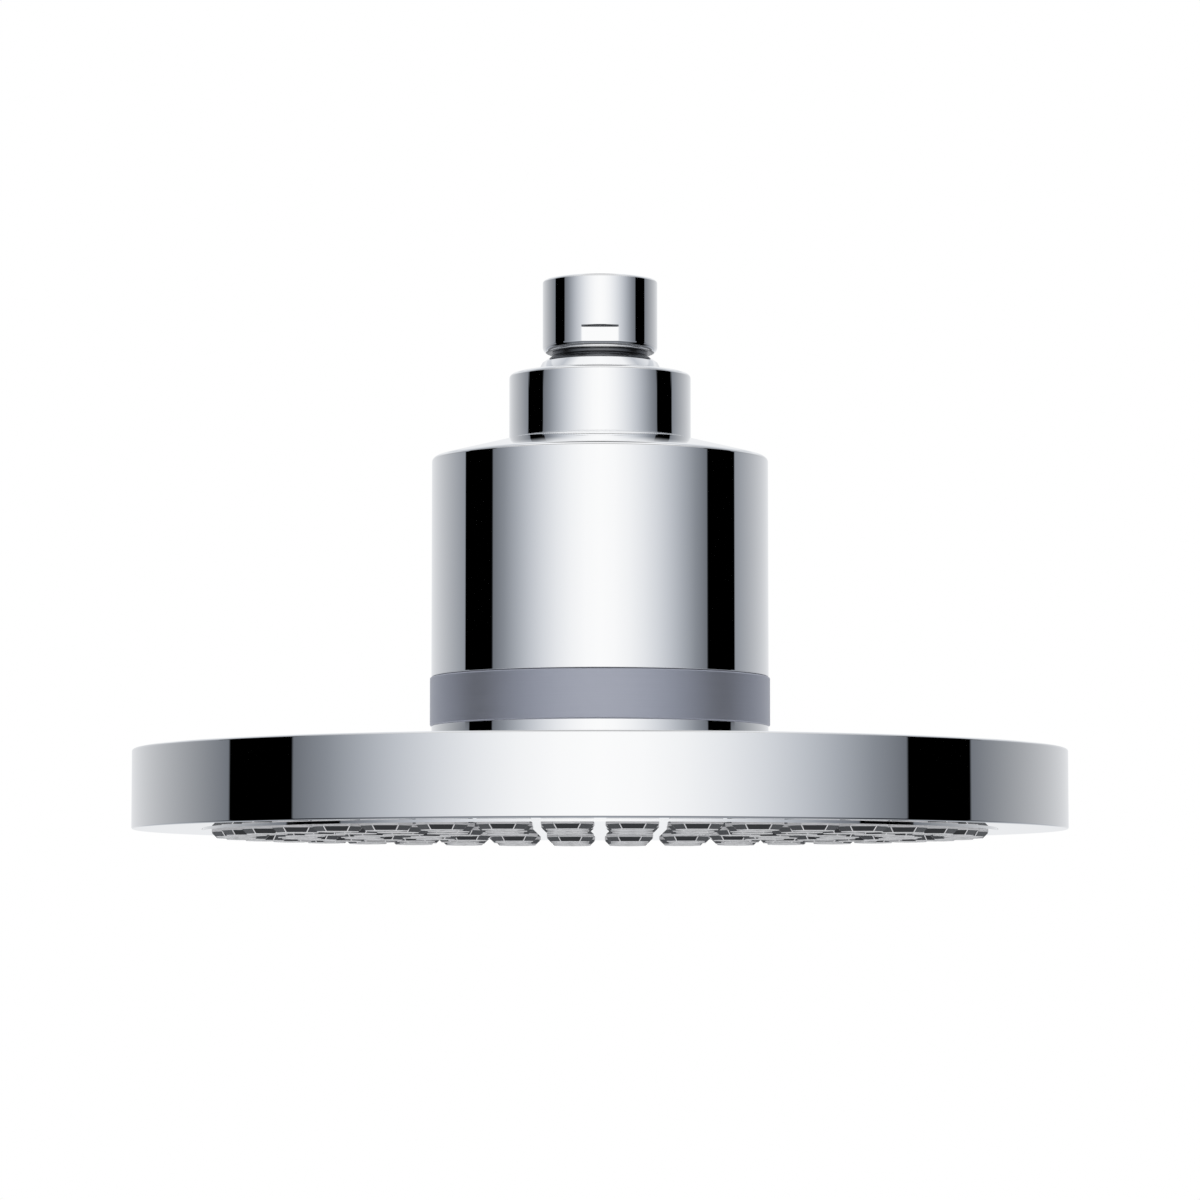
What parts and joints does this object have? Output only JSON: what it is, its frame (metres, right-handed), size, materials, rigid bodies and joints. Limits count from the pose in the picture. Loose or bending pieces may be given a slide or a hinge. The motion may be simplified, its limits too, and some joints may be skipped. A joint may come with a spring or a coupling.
{
  "type": "filtered shower head",
  "caption": "Round rain shower head with a screw-on filter housing, a ball joint and a threaded pipe connector.",
  "frame": {"origin": "on the axis, in the plane of the nozzle tips, which the head stands on when it lies face down", "axes": "+Z along the axis from the spray face towards the pipe; the nut's two wrench flats face -Y and +Y"},
  "size_m": [0.2, 0.2, 0.1205],
  "materials": {
    "chrome": "polished chrome plate",
    "chrome_face": "polished chrome plate on the spray face",
    "grey_plastic": "satin grey plastic",
    "dark_silicone": "dark grey silicone",
    "seal_rubber": "black rubber",
    "screen_steel": "woven stainless mesh and plain steel",
    "white_plastic": "natural white plastic",
    "carbon": "black granules",
    "calcium": "off-white granules",
    "copper_zinc": "golden metal granules",
    "felt": "white felt"
  },
  "bodies": {
    "connector": {"swivel_connector": "chrome", "inlet_washer": "seal_rubber", "inlet_screen": "screen_steel"},
    "regulator": {"flow_regulator": "white_plastic"},
    "ball_seal": {"ball_seal": "seal_rubber"},
    "housing": {"filter_housing": "chrome", "retaining_collar": "chrome", "ball_ring": "white_plastic", "ball_seat": "white_plastic"},
    "housing_seal": {"housing_seal": "seal_rubber"},
    "spray_head": {"filter_base": "chrome", "grip_ring": "grey_plastic", "stub_washer": "seal_rubber", "lock_nut": "white_plastic", "cartridge_seal": "seal_rubber", "cartridge_cup": "white_plastic", "cartridge_cap": "white_plastic", "lower_screen": "screen_steel", "carbon_bed": "carbon", "middle_screen": "screen_steel", "calcium_bed": "calcium", "upper_screen": "screen_steel", "copper_zinc_bed": "copper_zinc", "felt_pad": "felt", "back_cover": "chrome", "disc_body": "chrome", "spray_plate": "chrome_face", "nozzle_mat": "dark_silicone", "chamber_plate": "white_plastic", "chamber_screws": "screen_steel"}
  },
  "joints": [
    {"name": "swing_direction", "type": "hinge", "parent": "connector", "child": "regulator", "pos_m": [0, 0, 0.09565], "axis": [0, 0, 1], "continuous": true},
    {"name": "head_tilt", "type": "hinge", "parent": "regulator", "child": "ball_seal", "pos_m": [0, 0, 0.09565], "axis": [1, 0, 0], "range_deg": [-15, 15]},
    {"name": "head_spin", "type": "hinge", "parent": "ball_seal", "child": "housing", "pos_m": [0, 0, 0.09565], "axis": [0, 0, 1], "continuous": true},
    {"name": "unscrew_drop", "type": "slide", "parent": "housing", "child": "housing_seal", "axis": [0, 0, -1], "range_m": [0, 0.008]},
    {"name": "unscrew_turn", "type": "hinge", "parent": "housing_seal", "child": "spray_head", "pos_m": [0, 0, 0.04], "axis": [0, 0, -1], "range_deg": [0, 720]}
  ],
  "couplings": [
    {"joint": "unscrew_drop", "follows": "unscrew_turn", "m_per_rad": 0.000636}
  ]
}
